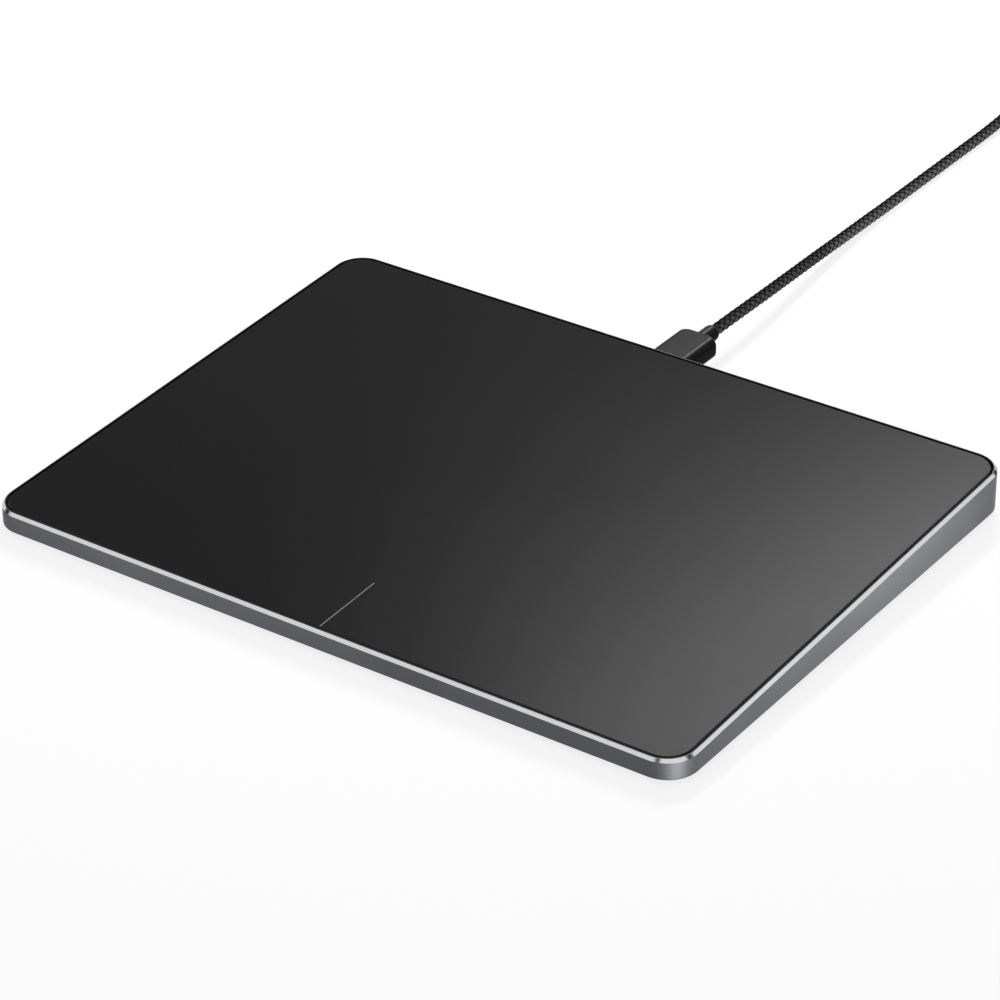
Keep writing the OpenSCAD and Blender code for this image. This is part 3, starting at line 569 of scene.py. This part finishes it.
def moulding_rings(y_front, y_rear, z, width, height, edge, corner, soft):
    """A bar along Y with a softened front face, rounded rear corners and a softened rear face."""
    stations = [(y_front + soft * (1 - math.cos(a)), soft * (1 - math.sin(a)), 0.0)
                for a in (math.pi / 2 * k / 4 for k in range(5))]
    stations += [(y_rear - corner + (corner - soft) * math.sin(a), 0.0, corner * (1 - math.cos(a)))
                 for a in (math.radians(75) * k / 8 for k in range(9))]
    last_y, _, last_side = stations[-1]
    stations += [(y_rear - soft * (1 - math.sin(a)) if k else last_y,
                  soft * (1 - math.cos(a)), last_side)
                 for k, a in enumerate(math.pi / 2 * k / 4 for k in range(5)) if k]
    rings = []
    for y, inset, narrow in stations:
        ring = rounded_ring(width - 2 * inset - 2 * narrow, height - 2 * inset, edge - inset)
        rings.append([(x, y, z + h) for x, h in ring])
    return rings


print("loft helpers ready")

# %% [markdown]
# The cable's plug is a small satin moulding, flat on top, with softly rounded long edges and
# rounded rear corners. A round collar, lofted from circles, keeps the cord from kinking.

# %% Plug and collar
PLUG_FRONT, PLUG_REAR, COLLAR_END, PORT_LEVEL = 0.0603, 0.0728, 0.0782, 0.0064
plug = loft("plug_moulding", moulding_rings(PLUG_FRONT, PLUG_REAR, PORT_LEVEL, width=0.0094,
                                            height=0.0048, edge=0.0017, corner=0.001, soft=0.0003),
            "cable")
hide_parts("plug_body")


def collar_rings(y_from, y_to, z, profile):
    """Circles along Y; the profile lists shares of the length with their radii."""
    return [[(r * math.cos(2 * math.pi * k / 32), y_from + (y_to - y_from) * t,
              z - r * math.sin(2 * math.pi * k / 32)) for k in range(32)] for t, r in profile]


collar_profile = [(0, 0.00175), (0.02, 0.0018), (0.8, 0.0018), (0.88, 0.00176), (0.94, 0.00168),
                  (0.98, 0.00154), (1, 0.0014)]
collar = loft("plug_strain_relief",
              collar_rings(PLUG_REAR, COLLAR_END, PORT_LEVEL, collar_profile), "cable")
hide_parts("plug_collar")

satin = finish("satin_black_moulding", (0.006, 0.006, 0.0062), 0.34, specular=0.015)
skin = grain(satin, 3000, 3)
tint(satin, spread(satin, skin, 0, 1), (0.005, 0.005, 0.0052), (0.007, 0.007, 0.0072))
drive(satin, "Roughness", spread(satin, skin, 0.3, 0.42))
bumps(satin, skin, 0.000006)
for piece in (plug, collar):
    wear(piece, satin)
print("plug faces:", len(plug.data.polygons), "collar faces:", len(collar.data.polygons))

# %% [markdown]
# The far end carries a flat rectangular plug for the computer. It is built with the same rings
# along the tail's own direction, so the loft is turned and moved into place at the end.

# %% End plug
END_LENGTH, END_RELIEF, END_LEVEL, END_FRONT = 0.021, 0.029, 0.0038, 0.069
tail_place = (Matrix.Translation((coil_end.x, coil_end.y, 0))
              @ Matrix.Rotation(math.radians(-135), 4, "Z"))
end_turn = tail_place @ Matrix.Translation((0, END_FRONT, 0)) @ Matrix.Rotation(math.pi, 4, "Z")
end_plug = loft("end_plug_moulding",
                moulding_rings(0, END_LENGTH, END_LEVEL, width=0.0154, height=0.0076, edge=0.002,
                               corner=0.003, soft=0.0004), "cable", end_turn)
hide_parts("end_body")
end_profile = [(0, 0.00225), (0.02, 0.0023), (0.85, 0.0021), (0.93, 0.002), (0.98, 0.0018),
               (1, 0.0015)]
end_relief = loft("end_strain_relief",
                  collar_rings(END_LENGTH, END_RELIEF, END_LEVEL, end_profile), "cable", end_turn)
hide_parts("end_collar")
for piece in (end_plug, end_relief):
    wear(piece, satin)

# %% [markdown]
# Two straps hold the coil. They are strips of woven hook-and-loop tape, wrapped once with the
# end lapped over the top. A strip is swept round a rounded rectangle that just clears the turns of
# the coil, and the lap is a second, short strip on top of it that thins towards its ends.

# %% Strap shape
TIE_WIDTH, TIE_THICK = 0.006, 0.0008
CLEARANCE, INNER_CORNER, STRAP_STEP = 0.00025, 0.0004, 0.0012
LAP_RINGS, LAP_RISE = 13, 0.0006
strap_section = [(-0.5, -0.7), (-0.49, -1), (0.49, -1), (0.5, -0.7),
                 (0.5, 0.7), (0.49, 1), (-0.49, 1), (-0.5, 0.7)]


def tie_strap(name, turn):
    room = CORD_WIDTH / 2 + CLEARANCE
    inner = COIL_RADIUS - COIL_PITCH * LAYER_LOOPS - room - INNER_CORNER
    span = COIL_RADIUS + room - inner
    low = coil_start.z - CORD_WIDTH / 2
    tall = coil_end.z + room - low
    loop = rounded_ring(span + TIE_THICK, tall + TIE_THICK, INNER_CORNER + TIE_THICK / 2, 5)
    middle = (inner + span / 2, low + tall / 2)
    first = min(range(len(loop)), key=lambda i: (loop[i][1] < 0, abs(loop[i][0] + span / 2)))
    order = loop[first:] + loop[:first]
    stations = []
    for a, b in zip(order, order[1:] + order[:1]):
        parts = max(1, round(math.dist(a, b) / STRAP_STEP))
        stations += [(a[0] + (b[0] - a[0]) * k / parts, a[1] + (b[1] - a[1]) * k / parts)
                     for k in range(parts)]
    half = TIE_THICK / 2
    verts, faces = [], []
    total, sides = len(stations), len(strap_section)
    for i, (x, z) in enumerate(stations):
        nxt, prv = stations[(i + 1) % total], stations[i - 1]
        along = Vector((nxt[0] - prv[0], 0, nxt[1] - prv[1])).normalized()
        out = Vector((along.z, 0, -along.x))
        for across, level in strap_section:
            p = Vector((middle[0] + x, across * TIE_WIDTH, middle[1] + z)) + out * level * half
            verts.append(turn @ p)
    for i in range(total):
        for k in range(sides):
            here, there, turned = i * sides, (i + 1) % total * sides, (k + 1) % sides
            faces.append((here + k, here + turned, there + turned, there + k))
    strap = add_mesh(name, verts, faces, "cable")
    top = low + tall + TIE_THICK
    lap = []
    for i in range(LAP_RINGS):
        x = middle[0] - span * 0.34 + span * 0.68 * i / (LAP_RINGS - 1)
        lift = LAP_RISE * ease(i / 2) * (1 - 0.4 * ease((i - 10) / 2))
        lap.append([turn @ Vector((x, across * TIE_WIDTH * 0.96,
                                   top - LAP_RISE / 2 + lift * (level + 1) / 2))
                    for across, level in strap_section])
    return strap, lap


print("strap section points:", len(strap_section))

# %% [markdown]
# The straps sit on opposite sides of the coil. Their tape has a looped face: a cell pattern of
# small dark gaps between the loops gives it a soft, matte nap.

# %% Coil ties
straps = []
for name, degrees in (("coil_tie_near", 292), ("coil_tie_far", 112)):
    turn = Matrix.Translation(coil_center) @ Matrix.Rotation(math.radians(degrees), 4, "Z")
    strap, lap = tie_strap(name, turn)
    flap = loft(name + "_lap", lap, "cable")
    straps += [strap, flap]
    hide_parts("coil_ties")

tape = finish("woven_tape", (0.012, 0.012, 0.012), 0.85, specular=0.2)
loops = put(tape, "TexVoronoi", Vector=place(tape), Scale=2600.0).outputs["Distance"]
tint(tape, loops, (0.02, 0.02, 0.021), (0.005, 0.005, 0.005))
bumps(tape, loops, 0.0001)
for piece in straps:
    wear(piece, tape)
print("straps:", [p.name for p in straps])

# %% [markdown]

print("cord built")

# %% [markdown]
# The underside is a black moulded cover with a fine spark-eroded texture, held by six screws and
# standing on four soft rubber feet. Moulded texture is a close pattern of tiny bumps; rubber is
# matter still and picks up a little dust, which lightens it in patches.

# %% Underside
cover = softened("bottom_cover", "moulded_cover", 0.00008)
feet = softened("rubber_feet", "soft_feet", 0.00015, 3)
eroded = finish("eroded_black_plastic", (0.016, 0.016, 0.017), 0.6, specular=0.4)
spark = grain(eroded, 2400, 4)
tint(eroded, spread(eroded, spark, 0, 1), (0.013, 0.013, 0.014), (0.021, 0.021, 0.022))
drive(eroded, "Roughness", spread(eroded, spark, 0.52, 0.68))
bumps(eroded, spark, 0.00003)
wear(cover, eroded)

rubber = finish("foot_rubber", (0.014, 0.014, 0.014), 0.82, specular=0.3)
dust = grain(rubber, 160, 5)
tint(rubber, spread(rubber, dust, 0, 1), (0.01, 0.01, 0.01), (0.024, 0.024, 0.023))
bumps(rubber, grain(rubber, 1800, 3), 0.00002)
wear(feet, rubber)

blackened = finish("blackened_steel", (0.05, 0.05, 0.053), 0.38, metal=1.0)
oil = grain(blackened, 1500, 3)
tint(blackened, spread(blackened, oil, 0, 1), (0.04, 0.04, 0.043), (0.07, 0.07, 0.073))
drive(blackened, "Roughness", spread(blackened, oil, 0.3, 0.48))
for name in ("cover_screws", "hinge_screws", "carrier_screws"):
    wear(nodes[name], blackened)
print("cover faces:", len(cover.data.polygons))

# %% [markdown]
# Port and plug shells are folded from nickel-plated sheet steel. Plating is bright, with faint
# lines along the rolling direction, so the pattern is stretched along one axis before it is used.

# %% Plated shells
plated = finish("nickel_plate", (0.42, 0.415, 0.4), 0.24, metal=1.0)
rolled = grain(plated, 900, 3, put(plated, "Mapping", Vector=place(plated),
                                   Scale=(8, 0.6, 8)).outputs["Vector"])
tint(plated, spread(plated, rolled, 0, 1), (0.4, 0.395, 0.382), (0.44, 0.435, 0.42))
drive(plated, "Roughness", spread(plated, rolled, 0.18, 0.34))
bumps(plated, rolled, 0.000005)
for name in ("usb_port", "plug_shell", "end_shell", "board_screws"):
    wear(nodes[name], plated)
print("plated pieces: 4")

# %% [markdown]
# Inside, a steel carrier and two leaf hinges hold the plate. Stamped stainless sheet has a brushed
# grain: long thin scratches that all run one way.

# %% Stamped steel
stamped = finish("stamped_stainless", (0.56, 0.56, 0.57), 0.34, metal=1.0)
brushed = grain(stamped, 700, 4, put(stamped, "Mapping", Vector=place(stamped),
                                     Scale=(0.4, 12, 12)).outputs["Vector"])
tint(stamped, spread(stamped, brushed, 0, 1), (0.5, 0.5, 0.51), (0.62, 0.62, 0.63))
drive(stamped, "Roughness", spread(stamped, brushed, 0.26, 0.44))
for name in ("pad_carrier", "hinge_leaves"):
    wear(nodes[name], stamped)
print("stamped pieces: 2")

# %% [markdown]
# Both boards are glass fibre under green lacquer. Copper tracks show through as slightly lighter
# lines, which a brick pattern with thin joints gives in a few nodes.

# %% Boards
lacquer = finish("green_lacquer", (0.012, 0.08, 0.035), 0.3)
tracks = put(lacquer, "TexBrick", Vector=place(lacquer), Scale=220.0, Mortar_Size=0.06)
tint(lacquer, tracks.outputs["Fac"], (0.012, 0.08, 0.035), (0.035, 0.16, 0.07))
bumps(lacquer, tracks.outputs["Fac"], 0.00002)
for name in ("sensor_board", "main_board"):
    wear(nodes[name], lacquer)

resin = finish("chip_resin", (0.018, 0.018, 0.019), 0.55)
speck = grain(resin, 6000, 2)
tint(resin, spread(resin, speck, 0, 1), (0.014, 0.014, 0.015), (0.028, 0.028, 0.029))
bumps(resin, speck, 0.000008)
for name in ("touch_chip", "control_chip", "switch_case", "port_tongue"):
    wear(nodes[name], resin)

ceramic = finish("fired_ceramic", (0.3, 0.22, 0.14), 0.4)
tint(ceramic, grain(ceramic, 2500), (0.2, 0.15, 0.1), (0.42, 0.32, 0.2))
for name in ("sensor_parts", "board_parts"):
    wear(nodes[name], ceramic)
print("board pieces: 8")

# %% [markdown]
# The last small pieces are plain mouldings and films: ivory connectors, the white contact tongue of
# the end plug, the red switch plunger, the striped ribbon and the clear film that bonds the glass.

# %% Small mouldings and films
ivory = finish("ivory_moulding", (0.7, 0.67, 0.58), 0.45)
tint(ivory, grain(ivory, 900, 3), (0.62, 0.59, 0.5), (0.78, 0.75, 0.66))
for name in ("sensor_connector", "board_connector", "end_tongue"):
    wear(nodes[name], ivory)

plunger = finish("plunger_red", (0.42, 0.04, 0.03), 0.4)
tint(plunger, grain(plunger, 2500), (0.34, 0.03, 0.025), (0.5, 0.05, 0.04))
wear(nodes["switch_plunger"], plunger)

ribbon = finish("striped_ribbon", (0.72, 0.72, 0.68), 0.35)
wires = put(ribbon, "TexWave", Vector=place(ribbon), Scale=320.0)
tint(ribbon, wires.outputs["Fac"], (0.5, 0.5, 0.47), (0.85, 0.85, 0.82))
wear(nodes["ribbon_cable"], ribbon)

film = finish("bond_film", (0.6, 0.56, 0.42), 0.3)
tint(film, grain(film, 120, 3), (0.52, 0.48, 0.36), (0.68, 0.64, 0.5))
wear(nodes["bond_film"], film)
print("small pieces: 6")

# %% [markdown]
# The pad lies on a white sweep. The floor is a plain pale sheet that takes the pad's soft shadow.
# Most of its whiteness towards the camera, and in reflections, is its own, so that it meets the
# white surround without a line.

# %% Floor
FLOOR_REACH, WHITE_SHARE = 6, 0.82


def background_rays(tree):
    """1 for rays that show the background: straight to the camera, mirrored or seen through."""
    path = tree.nodes.new("ShaderNodeLightPath")
    seen = None
    for name in ("Is Camera Ray", "Is Glossy Ray", "Is Transmission Ray"):
        if seen is None:
            seen = path.outputs[name]
            continue
        both = tree.nodes.new("ShaderNodeMath")
        both.operation = "MAXIMUM"
        tree.links.new(seen, both.inputs[0])
        tree.links.new(path.outputs[name], both.inputs[1])
        seen = both.outputs[0]
    return seen


floor_corners = [(-FLOOR_REACH, -FLOOR_REACH, 0), (FLOOR_REACH, -FLOOR_REACH, 0),
                 (FLOOR_REACH, FLOOR_REACH, 0), (-FLOOR_REACH, FLOOR_REACH, 0)]
floor = add_mesh("floor", floor_corners, [(0, 1, 2, 3)])
paper = finish("white_paper", (0.86, 0.86, 0.86), 0.9, specular=0.1)
tint(paper, grain(paper, 400, 2), (0.85, 0.85, 0.85), (0.87, 0.87, 0.87))
glow = put(paper, "Emission", Strength=1.0)
share = calc(paper, "MULTIPLY", background_rays(paper.node_tree), WHITE_SHARE)
blend = paper.node_tree.nodes.new("ShaderNodeMixShader")
links = paper.node_tree.links
links.new(share, blend.inputs[0])
links.new(paper.node_tree.nodes["Principled BSDF"].outputs[0], blend.inputs[1])
links.new(glow.outputs[0], blend.inputs[2])
links.new(blend.outputs[0], paper.node_tree.nodes["Material Output"].inputs["Surface"])
wear(floor, paper)
print("floor width in metres:", 2 * FLOOR_REACH)

# %% [markdown]
# The surround shows as pure white, but lights the set with less than half of that. A surround that
# lit as brightly as it shows would wash out the lamps.

# %% Surround
FILL_LIGHT = 0.45
world = bpy.data.worlds.new("studio")
world.use_nodes = True
bpy.context.scene.world = world
sky = world.node_tree
sky.nodes["Background"].inputs["Color"].default_value = (1, 1, 1, 1)
strength = sky.nodes.new("ShaderNodeMapRange")
strength.inputs["To Min"].default_value = FILL_LIGHT
strength.inputs["To Max"].default_value = 1.0
sky.links.new(background_rays(sky), strength.inputs["Value"])
sky.links.new(strength.outputs[0], sky.nodes["Background"].inputs["Strength"])
print("surround fill:", FILL_LIGHT)

# %% [markdown]
# Eight soft boxes light the set. A wide one overhead gives the level, and a long one behind puts a
# slow gradient across the satin plate. Three low ones draw the shading of the frame's walls, two
# small ones the edges of the plug and one the cord's right flank. Light linking lets a small box
# light its own pieces alone, as a photographer does with black cards between the lamps.

# %% Lamp helpers


def soft_box(name, at, aim, size, power, lean=0):
    lamp = bpy.data.lights.new(name, "AREA")
    lamp.shape = "RECTANGLE"
    lamp.size, lamp.size_y = size
    lamp.energy = power
    box = bpy.data.objects.new(name, lamp)
    box.location = at
    facing = (Vector(aim) - Vector(at)).to_track_quat("-Z", "Y").to_matrix()
    box.rotation_euler = (facing @ Matrix.Rotation(math.radians(lean), 3, "Z")).to_euler()
    bpy.context.collection.objects.link(box)
    return box


def link(box, state, *pieces):
    """Keeps a lamp's light off some pieces, or on them alone."""
    group = bpy.data.collections.new(box.name + "_pieces")
    for piece in pieces:
        group.objects.link(piece)
    for entry in group.collection_objects:
        entry.light_linking.link_state = state
    box.light_linking.receiver_collection = group


print("lamp helpers ready")

# %% [markdown]
# A low box stands level with the walls and is little taller than they are, so its light falls off
# along a wall and only grazes the deck. The plug's boxes stand behind it, where its rounded edges
# mirror them towards the camera.

# %% Lamps
LOW, SLIM, PLUG_TOP = 0.008, 0.014, 0.0088
soft_box("overhead_box", (0.1, -0.1, 1.2), (0, 0, 0), (1.2, 1.2), 4.0)
strip = soft_box("back_box", (-0.133, 0.322, 0.341), (-0.1, -0.2, 0.1), (0.04, 0.235), 2.24, -46)
corner = soft_box("corner_box", (0.42, -0.253, LOW), (0.092, -0.054, LOW), (0.03, SLIM), 10.8)
front = soft_box("front_box", (-0.095, -0.2, LOW), (-0.08, -0.06, LOW), (0.03, SLIM), 0.29)
side = soft_box("side_box", (0.13, 0.035, LOW), (0.089, 0.0062, LOW), (0.053, SLIM), 0.139)
plug_top = soft_box("plug_top_box", (-0.147, 0.277, 0.16), (0, 0.067, PLUG_TOP), (0.06, 0.06), 0.11)
plug_edge = soft_box("plug_edge_box", (-0.057, 0.283, 0.209), (0.003, 0.067, PLUG_TOP),
                     (0.05, 0.05), 1.5)
flank = soft_box("cord_box", (0.35, 0.1, 0.03), (0, 0.14, 0.003), (0.1, 0.04), 1.8)
link(strip, "EXCLUDE", cord)
link(flank, "INCLUDE", cord)
for box in (corner, front, side):
    link(box, "INCLUDE", housing, cord)
for box in (plug_top, plug_edge):
    link(box, "INCLUDE", plug, collar)
bpy.context.scene.view_settings.view_transform = "Standard"

# %% [markdown]
# Polished metal only looks like metal when it has something dark to reflect. A photographer hangs
# black cloth on a frame, a flag, where a bright edge should break: here one flag for each place
# where the bright cut runs into a corner. They hang out of the picture, a metre off, and the camera
# is told to look through them.

# %% Flags


def flag(name, corner, toward, width, height):
    """A black cloth, hung a metre from a corner of the pad and facing it."""
    toward = Vector(toward).normalized()
    across = toward.cross(Vector((0, 0, 1))).normalized()
    rise = across.cross(toward)
    verts = [Vector(corner) + toward + across * width * i + rise * height * k
             for i, k in ((-0.5, -0.5), (0.5, -0.5), (0.5, 0.5), (-0.5, 0.5))]
    cloth = add_mesh(name, verts, [(0, 1, 2, 3)])
    cloth.visible_camera = False
    return cloth


velvet = finish("black_cloth", (0.004, 0.004, 0.004), 0.9, specular=0.0)
tint(velvet, grain(velvet, 300, 3), (0.002, 0.002, 0.002), (0.006, 0.006, 0.006))
near_left, near_right, far_right = (-0.08, -0.06, 0.005), (0.08, -0.06, 0.005), (0.08, 0.06, 0.01)
flags = [flag("flag_left", near_left, (-0.885, -0.235, 0.4), 0.32, 0.5),
         flag("flag_front", near_right, (-0.06, -0.608, 0.792), 0.2, 0.5),
         flag("flag_right", near_right, (0.7134, 0.2866, 0.638), 0.28, 0.5),
         flag("flag_back", far_right, (0.264, 0.949, 0.175), 0.3, 0.34)]
for cloth in flags:
    wear(cloth, velvet)
print("flags:", len(flags))

# %% [markdown]

# %% Finish
print("scene done")
